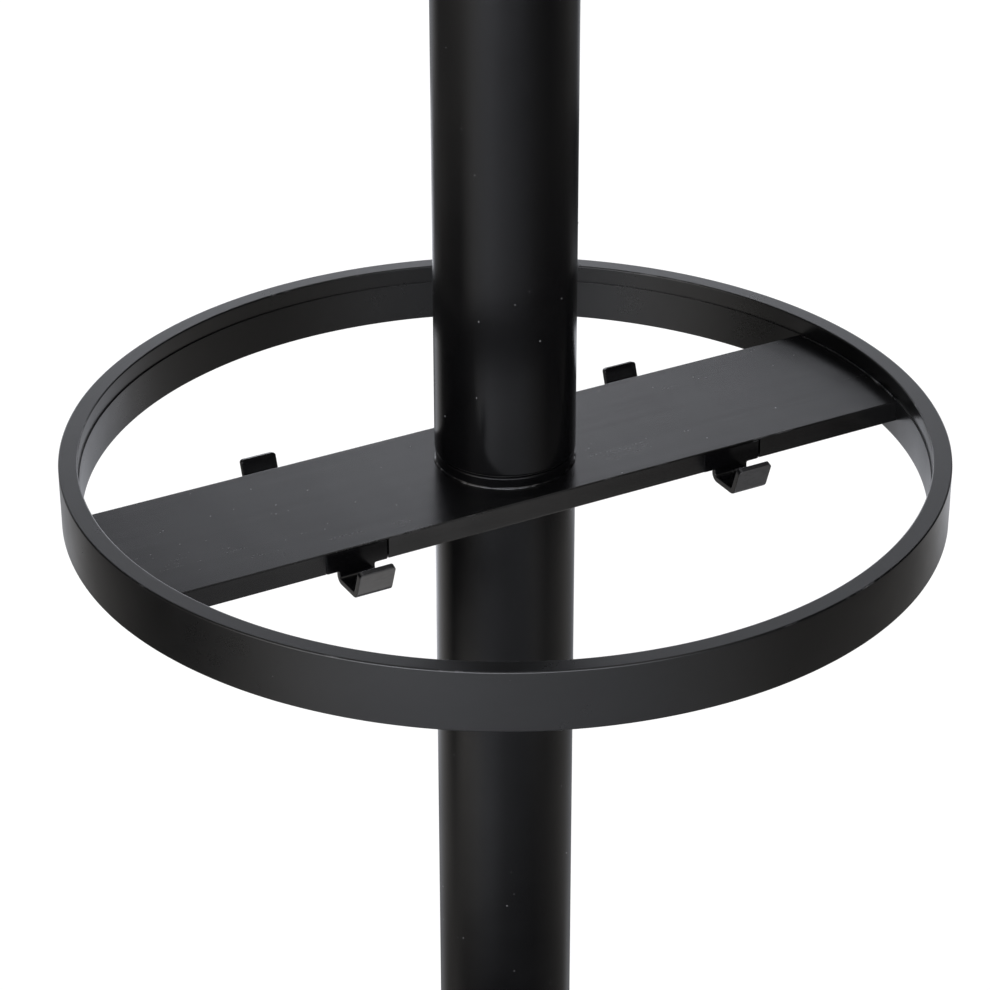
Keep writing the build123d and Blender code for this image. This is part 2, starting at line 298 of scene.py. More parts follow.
def painted_lip_highlight(material, inner, outer):
    """Paints a lighter grey highlight on the outward face of each lip; it starts between inner and outer.
    """
    tree = material.node_tree
    surface = next(n for n in tree.nodes if n.type == "BSDF_PRINCIPLED")
    place = object_place(tree)
    y = split(tree, place)[1]
    outward = calc(tree, "MULTIPLY", face_direction(tree)[1], calc(tree, "SIGN", y))
    beyond = ramp(tree, calc(tree, "ABSOLUTE", y), inner, outer, 0.0, 1.0)
    mask = calc(tree, "MULTIPLY", beyond, ramp(tree, outward, 0.2, 0.6, 0.0, 1.0))
    # Noise breaks up the painted highlight a little
    highlight_breakup = noise_field(tree, stretched(tree, place, (300.0, 300.0, 900.0)), 1.0, 4.0, 0.6)
    mask = calc(tree, "MULTIPLY", mask, ramp(tree, highlight_breakup, 0.25, 0.55, 0.75, 1.0))
    before = surface.inputs["Base Color"].links[0].from_socket
    # Painted highlight: the lips' outward faces are mixed towards a lighter grey
    link(tree, mix_colour(tree, mask, before, LIP_HIGHLIGHT_COLOUR), surface.inputs["Base Color"])
    return material


def zinc_plate(name):
    """Bright zinc-plated steel with turning lines and cloudy passivation."""
    material, tree = new_material(name)
    place = object_place(tree)
    clouds = noise_field(tree, place, 120.0, 3.0)
    lines = node(tree, "ShaderNodeTexWave", wave_type="BANDS", bands_direction="Z",
                 in_Scale=900.0, in_Distortion=1.5, in_Detail=2.0)
    link(tree, place, lines.inputs["Vector"])
    tint = mix_colour(tree, clouds, ZINC_COLOUR, PASSIVATED_COLOUR)
    rough = ramp(tree, clouds, NOISE_LOW, NOISE_HIGH, 0.22, 0.38)
    normal = bump(tree, lines.outputs["Fac"], 0.00003, 0.25)
    finish_surface(tree, tint, rough, normal, in_Metallic=1.0)
    return material


def moulded(name, colour, roughness):
    """Moulded polymer: a fine spark-eroded texture and a slight change of shade."""
    material, tree = new_material(name)
    place = object_place(tree)
    grain = noise_field(tree, place, 1400.0, 3.0)
    clouds = noise_field(tree, place, 60.0, 2.0)
    tint = mix_colour(tree, clouds, colour, tuple(1.5 * channel for channel in colour))
    rough = ramp(tree, grain, NOISE_LOW, NOISE_HIGH, roughness - 0.06, roughness + 0.06)
    normal = bump(tree, grain, 0.00004, 0.3)
    finish_surface(tree, tint, rough, normal, in_IOR=1.5)
    return material


# The painted highlight on a small hook's lip starts this far out from the crossbar's edge
LIP_HIGHLIGHT_START = 0.010
LIP_HIGHLIGHT_FULL = 0.012

MATERIALS = {
    "tube": powder_coat("tube_coat", roughness=0.20, mottle=0.03, wave=0.5, peel=0.25, dust=0.8),
    "bar": powder_coat("bar_coat", roughness=0.30, mottle=0.03, wave=0.3, dust=0.4,
                       gleam=0.85, wear_and_highlight=0.9, depth=1.6, level=0.66),
    "plate": powder_coat("plate_coat", roughness=0.24, mottle=0.03, wave=0.25, dust=0.9,
                         streak=0.02, gleam=0.80, wear_and_highlight=0.6, depth=1.6, upright=1.6, ends=0.5),
    "cover": powder_coat("cover_coat", roughness=0.28, mottle=0.03, wave=0.25, peel=0.15, dust=0.9,
                         gleam=0.70, wear_and_highlight=0.3, depth=1.6),
    "sheet": powder_coat("sheet_coat", roughness=0.26, mottle=0.04, wave=0.3, peel=0.15, dust=0.4,
                         gleam=1.0, wear_and_highlight=0.4, depth=1.6),
    "small_hook": painted_lip_highlight(
        powder_coat("small_hook_coat", roughness=0.16, mottle=0.03, wave=0.3, peel=0.1, dust=0.4,
                    gleam=0.6, wear_and_highlight=0.8),
        PLATE_HALF_WIDTH + LIP_HIGHLIGHT_START, PLATE_HALF_WIDTH + LIP_HIGHLIGHT_FULL),
    "weld": powder_coat("weld_coat", roughness=0.16, mottle=0.06, wave=0.8, peel=0.6, dust=0.2,
                        gleam=1.0, depth=1.6),
    "zinc": zinc_plate("zinc_plate"),
    "nib": moulded("paint_nib", (0.16, 0.16, 0.17), 0.3),
    "nylon": moulded("black_nylon", (0.010, 0.010, 0.010), 0.5),
    "rubber": moulded("glide_rubber", (0.016, 0.016, 0.016), 0.65),
}

BY_SLOT = {
    "black_powder_coat": "bar",
    "zinc_plated_steel": "zinc",
    "black_nylon": "nylon",
    "glide_rubber": "rubber",
    "black_screw_steel": "sheet",
}
BY_NODE = {
    "top_cap": "tube",
    "foot_collar": "tube",
    "middle_crossbar": "plate",
    "top_crossbar": "plate",
    "base_cover": "cover",
}


def paint_cad_nodes():
    """Gives every CAD node the material of its slot, or a closer one where its finish differs."""
    for part in frame["record"]["subparts"]:
        name = part["node"]
        kind = BY_NODE.get(name, BY_SLOT[part["material_slot"]])
        mesh = frame["nodes"][name].data
        mesh.materials.clear()
        mesh.materials.append(MATERIALS[kind])


paint_cad_nodes()


# ---------------------------------------------------------------- mesh builders

def add_piece(name, vertices, faces, material, body, replaced=None):
    """Makes a smooth coated piece that rides on a body and may stand in for a CAD node."""
    mesh = bpy.data.meshes.new(name)
    mesh.from_pydata([tuple(v) for v in vertices], [], faces)
    mesh.validate()
    mesh.polygons.foreach_set("use_smooth", [True] * len(mesh.polygons))
    mesh.materials.append(MATERIALS[material])
    piece = bpy.data.objects.new(name, mesh)
    bpy.context.scene.collection.objects.link(piece)
    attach(piece, body)
    if replaced:
        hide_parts(replaced)


def turned(arm, angle):
    """A flat vector turned by an angle."""
    return Vector((arm.x * math.cos(angle) - arm.y * math.sin(angle),
                   arm.x * math.sin(angle) + arm.y * math.cos(angle)))


def corner_arc(corner, before, after, radius):
    """The round of a corner: where it starts and ends, its centre, its first arm and its turn."""
    back, ahead = (before - corner).normalized(), (after - corner).normalized()
    half = back.angle(ahead) / 2
    reach = radius / math.tan(half)
    centre = corner + (back + ahead).normalized() * (radius / math.sin(half))
    start, end = corner + back * reach, corner + ahead * reach
    side = 1 if (start - centre).cross(end - centre) > 0 else -1
    return start, end, centre, start - centre, side * (math.pi - 2 * half)


def rounded_outline(corners, steps=5, support=0.00006):
    """Rounds a closed outline of (x, y, radius) corners.

    A support point just before and after each arc keeps the flats flat under smooth shading.
    """
    points = []
    for index, (x, y, radius) in enumerate(corners):
        here = Vector((x, y))
        if radius <= 0:
            points.append(here)
            continue
        before = Vector(corners[index - 1][:2])
        after = Vector(corners[(index + 1) % len(corners)][:2])
        start, end, centre, arm, turn = corner_arc(here, before, after, radius)
        points.append(start + (before - here).normalized() * support)
        points += [centre + turned(arm, turn * step / steps) for step in range(steps + 1)]
        points.append(end + (after - here).normalized() * support)
    return points


def divided(points, longest):
    """Splits the long sides of a closed outline."""
    out = []
    for index, here in enumerate(points):
        there = points[(index + 1) % len(points)]
        pieces = max(1, math.ceil((there - here).length / longest))
        out += [here.lerp(there, step / pieces) for step in range(pieces)]
    return out


def ring_faces(rows, loops, closed=True):
    """Faces of a grid of loops, each loop a closed row of vertices."""
    faces = []
    for loop in range(loops if closed else loops - 1):
        here, there = loop * rows, (loop + 1) % loops * rows
        for row in range(rows):
            after = (row + 1) % rows
            faces.append((here + row, there + row, there + after, here + after))
    return faces


def lathe(outline, segments, shape=None):
    """Vertices and faces of a closed outline turned about Z. shape may move each point."""
    vertices = []
    for segment in range(segments):
        a = TAU * segment / segments
        for point in outline:
            r, z = (point.x, point.y) if shape is None else shape(point.x, point.y, a)
            vertices.append((r * math.cos(a), r * math.sin(a), z))
    return vertices, ring_faces(len(outline), segments)


def joined(*meshes):
    """Puts several (vertices, faces) pairs into one."""
    vertices, faces = [], []
    for more_vertices, more_faces in meshes:
        offset = len(vertices)
        vertices += more_vertices
        faces += [tuple(i + offset for i in face) for face in more_faces]
    return vertices, faces


def moved(mesh, matrix):
    """A (vertices, faces) pair put through a matrix."""
    return [matrix @ Vector(v) for v in mesh[0]], mesh[1]


# ---------------------------------------------------------------- posts

TURN_SEGMENTS = 192
TUBE_STEP = 0.02
TUBE_ROUND_END = 0.0009
TUBE_SAWN_END = 0.0003
TUBE_TOP_BORE_EDGE = 0.0002
TUBE_FOOT_BORE_EDGE = 0.0003


def make_tube(name, replaced, foot_radius, top_radius, body):
    """A post tube; the two posts meet the crossbar with rounded-in ends."""
    bottom, top = low(replaced).z, high(replaced).z
    outline = rounded_outline([
        (POST_RADIUS, bottom, foot_radius),
        (POST_RADIUS, top, top_radius),
        (POST_BORE, top, TUBE_TOP_BORE_EDGE),
        (POST_BORE, bottom, TUBE_FOOT_BORE_EDGE),
    ])
    vertices, faces = lathe(divided(outline, TUBE_STEP), TURN_SEGMENTS)
    add_piece(name, vertices, faces, "tube", body, replaced)


make_tube("lower_tube", "lower_post", TUBE_SAWN_END, TUBE_ROUND_END, "stand")
make_tube("upper_tube", "upper_post", TUBE_ROUND_END, TUBE_SAWN_END, "upper_stand")


SPINDLE_SHANK = 0.020
SPINDLE_SHAFT = 0.0125
SPINDLE_STUD = 0.008
SPINDLE_CENTRE = 0.0005
SPINDLE_END_EDGE = 0.0005
FLANGE_HEIGHT = 0.0048
FLANGE_FOOT_EDGE = 0.0004
FLANGE_TOP_EDGE = 0.0007


def make_spindle():
    """The stub the upper post turns on; only its flange shows, as a collar under the post."""
    flange, bottom, top = high("spindle").x, low("spindle").z, high("spindle").z
    outline = rounded_outline([
        (SPINDLE_CENTRE, bottom, 0.0),
        (SPINDLE_STUD, bottom, SPINDLE_END_EDGE),
        (SPINDLE_STUD, PLATE_BOTTOM, 0.0),
        (SPINDLE_SHANK, PLATE_BOTTOM, 0.0),
        (SPINDLE_SHANK, PLATE_TOP, 0.0),
        (flange, PLATE_TOP, FLANGE_FOOT_EDGE),
        (flange, PLATE_TOP + FLANGE_HEIGHT, FLANGE_TOP_EDGE),
        (SPINDLE_SHAFT, PLATE_TOP + FLANGE_HEIGHT, 0.0),
        (SPINDLE_SHAFT, top, SPINDLE_END_EDGE),
        (SPINDLE_CENTRE, top, 0.0),
    ], steps=8)
    vertices, faces = lathe(outline, TURN_SEGMENTS)
    add_piece("spindle_turned", vertices, faces, "tube", "stand", "spindle")


make_spindle()


# ---------------------------------------------------------------- rings

RING_SEGMENTS = 720
EDGE_RADIUS = 0.0006
REBATE_DEPTH = 0.00045
REBATE_LEAN = 0.00017
REBATE_HEIGHT = 0.0076
REBATE_ROOT = 0.00008
REBATE_LIP = 0.00012
RING_STEP = 0.004
SLOW_DENT = 0.00005
FINE_DENT = 0.00002


def rolled_bar(r, z, angle):
    """The slight unevenness of a rolled flat bar, always inside its true size."""
    place = Vector((math.cos(angle), math.sin(angle), z * 12.0))
    slow = noise.noise(place * 6.0)
    fine = noise.noise(place * 22.0 + Vector((5.0, 3.0, 1.0)))
    dent = SLOW_DENT * (1 + slow) + FINE_DENT * (1 + fine)
    middle = RING_RADIUS - BAR_THICKNESS / 2
    return (r - dent, z) if r > middle else (r + dent / 2, z)


def ring_outline(bottom, top):
    """The bar's section, with the step inside its rim; the wall over the step leans in at the top."""
    step = top - REBATE_HEIGHT
    return rounded_outline([
        (RING_INSIDE, bottom, EDGE_RADIUS),
        (RING_RADIUS, bottom, EDGE_RADIUS),
        (RING_RADIUS, top, EDGE_RADIUS),
        (RING_INSIDE + REBATE_DEPTH - REBATE_LEAN, top, EDGE_RADIUS),
        (RING_INSIDE + REBATE_DEPTH + REBATE_LEAN, step, REBATE_ROOT),
        (RING_INSIDE, step, REBATE_LIP),
    ])


def make_middle_ring():
    outline = divided(ring_outline(low("middle_ring").z, RIM_LEVEL), RING_STEP)
    vertices, faces = lathe(outline, RING_SEGMENTS, rolled_bar)
    add_piece("middle_ring_bar", vertices, faces, "bar", "stand", "middle_ring")


make_middle_ring()


# ---------------------------------------------------------------- bent sheet hooks

def bend_path(points, bend):
    """The parts of a polyline with rounded corners: straights (start, end) and arcs.

    An arc is (centre, first arm, turn).
    """
    corners = [Vector(point) for point in points]
    parts = []
    last = corners[0]
    for before, here, after in zip(corners, corners[1:], corners[2:]):
        start, end, centre, arm, turn = corner_arc(here, before, after, bend)
        parts += [(last, start), (centre, arm, turn)]
        last = end
    parts.append((last, corners[-1]))
    return parts


def part_length(part):
    if len(part) == 2:
        return (part[1] - part[0]).length
    return abs(part[2]) * part[1].length


def along_path(parts, distance):
    """The point and left-hand normal at a distance along a bend path."""
    for part in parts:
        length = part_length(part)
        if distance <= length or part is parts[-1]:
            break
        distance -= length
    if len(part) == 2:
        way = (part[1] - part[0]).normalized()
        return part[0] + way * distance, Vector((-way.y, way.x))
    centre, first_arm, turn = part
    arm = turned(first_arm, turn * distance / length)
    return centre + arm, arm.normalized() * (-1 if turn > 0 else 1)


END_STEPS = 4


def sheet_loop(half_width, half_thickness, edge, steps=3, support=0.00004):
    """The rounded cross-section of a strip as (across, through) points."""
    corners = [(half_width, -half_thickness, edge), (half_width, half_thickness, edge),
               (-half_width, half_thickness, edge), (-half_width, -half_thickness, edge)]
    return rounded_outline(corners, steps, support)


def bent_sheet(points, bend, thickness, width_at, marks, edge):
    """A bent strip with rounded edges and ends.

    width_at(distance, total) gives its half width and marks(total) the distances of its rows.
    """
    parts = bend_path(points, bend)
    total = sum(part_length(part) for part in parts)
    end_turns = [math.pi / 2 * step / END_STEPS for step in range(END_STEPS + 1)]
    start = [(edge * (1 - math.cos(a)), edge * (1 - math.sin(a))) for a in end_turns]
    end = [(total - distance, inset) for distance, inset in reversed(start)]
    inner = sorted(set(round(mark, 7) for mark in marks(total) if edge < mark < total - edge))
    places = start + [(mark, 0.0) for mark in inner] + end
    vertices, loop_size = [], 0
    for distance, inset in places:
        middle, normal = along_path(parts, distance)
        loop = sheet_loop(width_at(distance, total) - inset, thickness / 2 - inset,
                          max(edge - inset, edge * 0.05))
        loop_size = len(loop)
        for across, through in loop:
            place = middle + normal * through
            vertices.append((place.x, across, place.y))
    faces = ring_faces(loop_size, len(places), closed=False)
    faces.append(tuple(range(loop_size)))
    faces.append(tuple(range(len(vertices) - 1, len(vertices) - loop_size - 1, -1)))
    return vertices, faces


def corner_cut(distance, radius):
    """How far a rounded corner pulls a strip's side in, this far before the end."""
    if distance >= radius:
        return 0.0
    return radius - math.sqrt(max(0.0, radius ** 2 - (radius - distance) ** 2))


# Levels are under the crossbar's top, reach and tip are outwards of its edge; head and strip are
# half widths
SMALL_HOOK = {
    "sheet": 0.0025, "head": 0.013, "strip": 0.0075, "setback": 0.0004,
    "head_drop": 0.0011, "head_bottom": 0.0092, "depth": 0.0146, "reach": 0.0124,
    "tip": (0.0163, -0.0021), "bend": 0.0023, "neck": 0.0008, "corner": 0.0014, "edge": 0.0003,
    "head_corner": 0.0004,
}


def small_hook_width(distance, total):
    """Half width: a wide head in the crossbar's pocket, a filleted neck and a rounded tip."""
    h = SMALL_HOOK
    head = h["head_bottom"] - h["head_drop"]
    if distance <= head:
        return h["head"] - corner_cut(head - distance, h["head_corner"])
    neck = corner_cut(distance - head, h["neck"])
    return h["strip"] + neck - corner_cut(total - distance, h["corner"])


def small_hook_marks(total):
    """Rows close together at the head's corners, the neck, the bends and the tip's corners."""
    h = SMALL_HOOK
    head = h["head_bottom"] - h["head_drop"]
    neck_end = head + h["neck"]
    tip_start = total - h["corner"]
    marks = [head - h["head_corner"] * part for part in (1, 1 / 2, 1 / 8, 0, -1 / 40)]
    marks += [head + h["neck"] * k / 6 for k in range(1, 7)]
    marks += [neck_end + (tip_start - neck_end) * k / 48 for k in range(49)]
    marks += [tip_start + h["corner"] * math.sin(math.pi / 2 * k / 10) for k in range(10)]
    return marks


def nodes_like(start):
    """The names of the CAD nodes that start with a word, and the middles of their boxes."""
    return [(name, (low(name) + high(name)) / 2) for name in frame["nodes"] if name.startswith(start)]


def make_small_hooks():
    """The four hooks in the middle crossbar's pockets."""
    h = SMALL_HOOK
    centre = -h["setback"] - h["sheet"] / 2
    level = h["sheet"] / 2 - h["depth"]
    points = [(centre, -h["head_drop"]), (centre, level), (h["reach"], level), h["tip"]]
    shape = bent_sheet(points, h["bend"], h["sheet"], small_hook_width, small_hook_marks, h["edge"])
    for name, middle in nodes_like("small_hook"):
        side = 1 if middle.y > 0 else -1
        place = (Matrix.Translation((middle.x, side * PLATE_HALF_WIDTH, PLATE_TOP))
                 @ Matrix.Rotation(side * math.pi / 2, 4, "Z"))
        add_piece(name + "_sheet", *moved(shape, place), "small_hook", "stand", name)


make_small_hooks()

# Lengths are from the top ring's rim and face
COAT_HOOK = {
    "bar": 0.004, "half_width": 0.010, "length": 0.080, "reach": 0.030,
    "tip": (0.044, -0.038), "bend": 0.013, "tip_corner": 0.008, "top_corner": 0.003, "edge": 0.0006,
}


def coat_hook_width(distance, total):
    """Half width: small corners at the top and a round tip."""
    h = COAT_HOOK
    return (h["half_width"] - corner_cut(distance, h["top_corner"])
            - corner_cut(total - distance, h["tip_corner"]))


def coat_hook_marks(total):
    """Rows close together at both ends' corners, and even between them."""
    h = COAT_HOOK
    tip_start = total - h["tip_corner"]
    marks = [h["top_corner"] * (1 - math.cos(math.pi / 2 * k / 8)) for k in range(9)]
    marks += [h["top_corner"] + (tip_start - h["top_corner"]) * k / 60 for k in range(61)]
    marks += [tip_start + h["tip_corner"] * math.sin(math.pi / 2 * k / 16) for k in range(16)]
    return marks


def make_coat_hooks():
    """The hooks screwed to the outside of the top ring."""
    h = COAT_HOOK
    centre = h["bar"] / 2
    points = [(centre, 0), (centre, -h["length"]), (h["reach"], -h["length"]), h["tip"]]
    shape = bent_sheet(points, h["bend"], h["bar"], coat_hook_width, coat_hook_marks, h["edge"])
    for name, middle in nodes_like("coat_hook"):
        turn = Matrix.Rotation(math.atan2(middle.y, middle.x), 4, "Z")
        place = turn @ Matrix.Translation((RING_RADIUS, 0, TOP_RIM_LEVEL))
        add_piece(name + "_bar", *moved(shape, place), "sheet", "upper_stand", name)


make_coat_hooks()


# ---------------------------------------------------------------- weld beads

BEAD_SIDES = 10
BEAD_RIPPLE = 0.16
BEAD_WANDER = 0.25
BEAD_TAPER_POINTS = 6.0
# Features per metre of the noise that makes a bead thicker and thinner, and that moves it sideways
DRIFT_SCALE = 160.0
WANDER_SCALE = 90.0


def weld_bead(path, closed, radius, pitch, seed, unevenness=0.22):
    """A rippled bead along a path of points. Its thickness and its place waver a little."""
    points = [Vector(p) for p in path]
    count = len(points)
    walked = 0.0
    vertices = []
    for index, here in enumerate(points):
        after = points[(index + 1) % count] if closed or index + 1 < count else here
        before = points[index - 1] if closed or index else here
        way = (after - before).normalized()
        side = way.cross(Vector((0, 0, 1))).normalized()
        up = side.cross(way)
        if index:
            walked += (here - points[index - 1]).length
        ripple = abs(math.sin(math.pi * walked / pitch)) ** 0.6
        drift = noise.noise(Vector((walked * DRIFT_SCALE, seed * 3.7, 0)))
        size = radius * (1 - BEAD_RIPPLE + BEAD_RIPPLE * ripple + unevenness * drift)
        wander = radius * BEAD_WANDER * noise.noise(Vector((walked * WANDER_SCALE, seed * 1.3, 5.0)))
        if not closed:
            from_end = min(index, count - 1 - index)
            size *= min(1.0, math.sqrt(max(0.02, from_end / BEAD_TAPER_POINTS)))
        for k in range(BEAD_SIDES):
            a = TAU * k / BEAD_SIDES
            vertices.append(here + side * (math.cos(a) * size + wander) + up * math.sin(a) * size)
    faces = ring_faces(BEAD_SIDES, count, closed)
    if not closed:
        faces.append(tuple(range(BEAD_SIDES)))
        faces.append(tuple(range(len(vertices) - 1, len(vertices) - BEAD_SIDES - 1, -1)))
    return vertices, faces


def arc(radius, level, first, last, count):
    """Points of a level arc, both ends among them."""
    angles_along = [first + (last - first) * k / count for k in range(count + 1)]
    return [(radius * math.cos(a), radius * math.sin(a), level) for a in angles_along]


def circle(radius, level, count):
    return arc(radius, level, 0.0, TAU, count)[:-1]


# How far a bead's middle lies inside the corner that it fills
BEAD_SINK = 0.0001
END_MARGIN = 0.0015


def weld_crossbar_ends(kind, level, body, tier, inset, count, first_seed, **bead):
    """Beads where a crossbar's two ends meet the ring, at the crossbar's top or bottom."""
    reach = math.asin((PLATE_HALF_WIDTH - END_MARGIN) / RING_INSIDE)
    for seed, (side, middle) in enumerate((("right", 0.0), ("left", math.pi)), start=first_seed):
        path = arc(RING_INSIDE - inset, level, middle - reach, middle + reach, count)
        add_piece(f"{tier}_ring_{kind}_{side}", *weld_bead(path, False, seed=seed, **bead), "weld", body)


def make_weld_beads():
    """Round the spindle's flange, under and over the crossbars' ends, and round the upper post's head."""
    foot = circle(high("spindle").x - 4 * BEAD_SINK, PLATE_TOP + BEAD_SINK, 720)
    bead = weld_bead(foot, True, radius=0.0009, pitch=0.0052, seed=1, unevenness=0.42)
    add_piece("spindle_weld", *bead, "weld", "stand")
    tiers = ((PLATE_TOP, PLATE_BOTTOM, "stand", "middle"),
             (TOP_PLATE_TOP, TOP_PLATE_BOTTOM, "upper_stand", "top"))
    for _, bottom, body, tier in tiers:
        weld_crossbar_ends("weld", bottom - BEAD_SINK, body, tier, 2 * BEAD_SINK, 160, 2,
                           radius=0.0016, pitch=0.0030)
    for top, _, body, tier in tiers:
        weld_crossbar_ends("seam", top, body, tier, BEAD_SINK, 260, 21,
                           radius=0.0007, pitch=0.0016, unevenness=0.7)
    head = circle(POST_RADIUS, TOP_PLATE_BOTTOM - 2 * BEAD_SINK, 480)
    bead = weld_bead(head, True, radius=0.0014, pitch=0.0028, seed=4)
    add_piece("upper_tube_weld", *bead, "weld", "upper_stand")


make_weld_beads()


# ---------------------------------------------------------------- paint nibs

NIB_SINK = 0.3
NIB_RINGS = 3
NIB_SIDES = 8
NIB_DEPTH = 0.00002
NIB_SMALLEST = 0.00012
TUBE_NIB_LARGEST = 0.00034
PLATE_NIB_LARGEST = 0.0003
# How far the nibs keep from a crossbar, from a post's other end, and from the post and the ring
CROSSBAR_GAP = 0.004
POST_END_GAP = 0.01
PLATE_GAP = 0.003


def nib(place, way, radius, rng):
    """A low lump of dust caught in the paint, sunk a little into the surface."""
    side = way.orthogonal().normalized()
    other = way.cross(side)
    height = radius * rng.uniform(0.5, 0.8)
    vertices = [place - way * radius * NIB_SINK]
    for k in range(NIB_RINGS):
        t = math.pi / 2 * k / NIB_RINGS
        lift = height * math.sin(t) - (0 if k else radius * NIB_SINK / 2)
        for n in range(NIB_SIDES):
            a = TAU * n / NIB_SIDES
            reach = radius * math.cos(t) * (1 + 0.25 * math.sin(2 * a + radius * 9000))
            vertices.append(place + side * math.cos(a) * reach + other * math.sin(a) * reach + way * lift)
    vertices.append(place + way * height)
    around_once = [(n, (n + 1) % NIB_SIDES) for n in range(NIB_SIDES)]
    last = 1 + (NIB_RINGS - 1) * NIB_SIDES
    faces = [(0, 1 + after, 1 + here) for here, after in around_once]
    for ring in range(1, last, NIB_SIDES):
        faces += [(ring + here, ring + after, ring + after + NIB_SIDES, ring + here + NIB_SIDES)
                  for here, after in around_once]
    faces += [(last + here, last + after, len(vertices) - 1) for here, after in around_once]
    return vertices, faces


def make_tube_nibs(name, bottom, top, count, seed, body):
    """Nibs scattered over a length of post."""
    rng = random.Random(seed)
    lumps = []
    for _ in range(count):
        a = rng.uniform(0, TAU)
        way = Vector((math.cos(a), math.sin(a), 0))
        place = way * (POST_RADIUS - NIB_DEPTH) + Vector((0, 0, rng.uniform(bottom, top)))
        lumps.append(nib(place, way, rng.uniform(NIB_SMALLEST, TUBE_NIB_LARGEST), rng))
    add_piece(name, *joined(*lumps), "nib", body)


def make_plate_nibs(name, top, count, seed, body):
    """Nibs scattered over a crossbar's top, clear of the post and the ring."""
    rng = random.Random(seed)
    lumps = []
    while len(lumps) < count:
        x = rng.uniform(-RING_INSIDE, RING_INSIDE)
        y = rng.uniform(-PLATE_HALF_WIDTH, PLATE_HALF_WIDTH) * 0.96
        if POST_RADIUS + PLATE_GAP < math.hypot(x, y) < RING_INSIDE - PLATE_GAP:
            place = Vector((x, y, top - NIB_DEPTH))
            lumps.append(nib(place, Vector((0, 0, 1)), rng.uniform(NIB_SMALLEST, PLATE_NIB_LARGEST), rng))
    add_piece(name, *joined(*lumps), "nib", body)


make_tube_nibs("upper_tube_nibs", POST_FOOT + CROSSBAR_GAP, TOP_PLATE_BOTTOM - POST_END_GAP,
               150, 11, "upper_stand")
make_tube_nibs("lower_tube_nibs", low("lower_post").z + POST_END_GAP, PLATE_BOTTOM - CROSSBAR_GAP,
               90, 12, "stand")
make_plate_nibs("middle_plate_nibs", PLATE_TOP, 34, 13, "stand")
make_plate_nibs("top_plate_nibs", TOP_PLATE_TOP, 20, 14, "upper_stand")


# ---------------------------------------------------------------- studio

CAMERA_AZIMUTH = math.radians(-29.16)
CAMERA_ELEVATION = math.radians(27.51)
CAMERA_DISTANCE = 7.310 * RING_RADIUS
CAMERA_YAW = -0.00308
CAMERA_PITCH = -0.01716
CAMERA_ROLL = math.radians(-0.03)
CAMERA_LENS = 118.08
SENSOR_WIDTH = 36.0
CLIP_END = 100.0


def make_camera():
    """The camera at the photograph's angle, then turned a little by yaw, pitch and roll."""
    a, e = CAMERA_AZIMUTH, CAMERA_ELEVATION
    forward = Vector((-math.sin(a) * math.cos(e), math.cos(a) * math.cos(e), -math.sin(e)))
    right = Vector((math.cos(a), math.sin(a), 0))
    up = right.cross(forward)
    place = Vector((0, 0, RIM_LEVEL)) - forward * CAMERA_DISTANCE
    yaw, pitch, roll = CAMERA_YAW, CAMERA_PITCH, CAMERA_ROLL
    forward, right = (forward * math.cos(yaw) + right * math.sin(yaw),
                      right * math.cos(yaw) - forward * math.sin(yaw))
    forward, up = (forward * math.cos(pitch) + up * math.sin(pitch),
                   up * math.cos(pitch) - forward * math.sin(pitch))
    right, up = (right * math.cos(roll) + up * math.sin(roll),
                 up * math.cos(roll) - right * math.sin(roll))
    data = bpy.data.cameras.new("camera")
    data.lens = CAMERA_LENS
    data.sensor_width = SENSOR_WIDTH
    data.clip_end = CLIP_END
    camera = bpy.data.objects.new("camera", data)
    turn = Matrix((right, up, -forward)).transposed().to_4x4()
    camera.matrix_world = Matrix.Translation(place) @ turn
    bpy.context.scene.collection.objects.link(camera)
    bpy.context.scene.camera = camera


def azimuth_and_distance(tree, place):
    """A place's azimuth from the camera's side in degrees, and its distance from the post's axis."""
    x, y, _ = split(tree, place)
    turn = calc(tree, "ARCTAN2", x, calc(tree, "MULTIPLY", y, -1.0))
    azimuth = calc(tree, "WRAP", calc(tree, "SUBTRACT", turn, CAMERA_AZIMUTH), math.pi, -math.pi)
    squares = calc(tree, "ADD", calc(tree, "MULTIPLY", x, x), calc(tree, "MULTIPLY", y, y))
    return calc(tree, "MULTIPLY", azimuth, 180 / math.pi), calc(tree, "SQRT", squares)


def around(tree, azimuth, stops):
    """A strength that runs straight from stop to stop round the rack."""
    (first, first_strength), (last, last_strength) = stops[0], stops[-1]
    behind = (180 - last) / (first + 360 - last)
    seam = last_strength + (first_strength - last_strength) * behind
    peak = max(strength for _, strength in stops)
    made = node(tree, "ShaderNodeValToRGB")
    marks = made.color_ramp.elements
    marks[0].position, marks[1].position = 0.0, 1.0
    marks[0].color = marks[1].color = (seam / peak, seam / peak, seam / peak, 1.0)
    for degrees, strength in stops:
        mark = marks.new((degrees + 180) / 360)
        mark.color = (strength / peak, strength / peak, strength / peak, 1.0)
    link(tree, ramp(tree, azimuth, -180.0, 180.0, 0.0, 1.0), made.inputs["Fac"])
    return calc(tree, "MULTIPLY", made.outputs["Color"], peak)


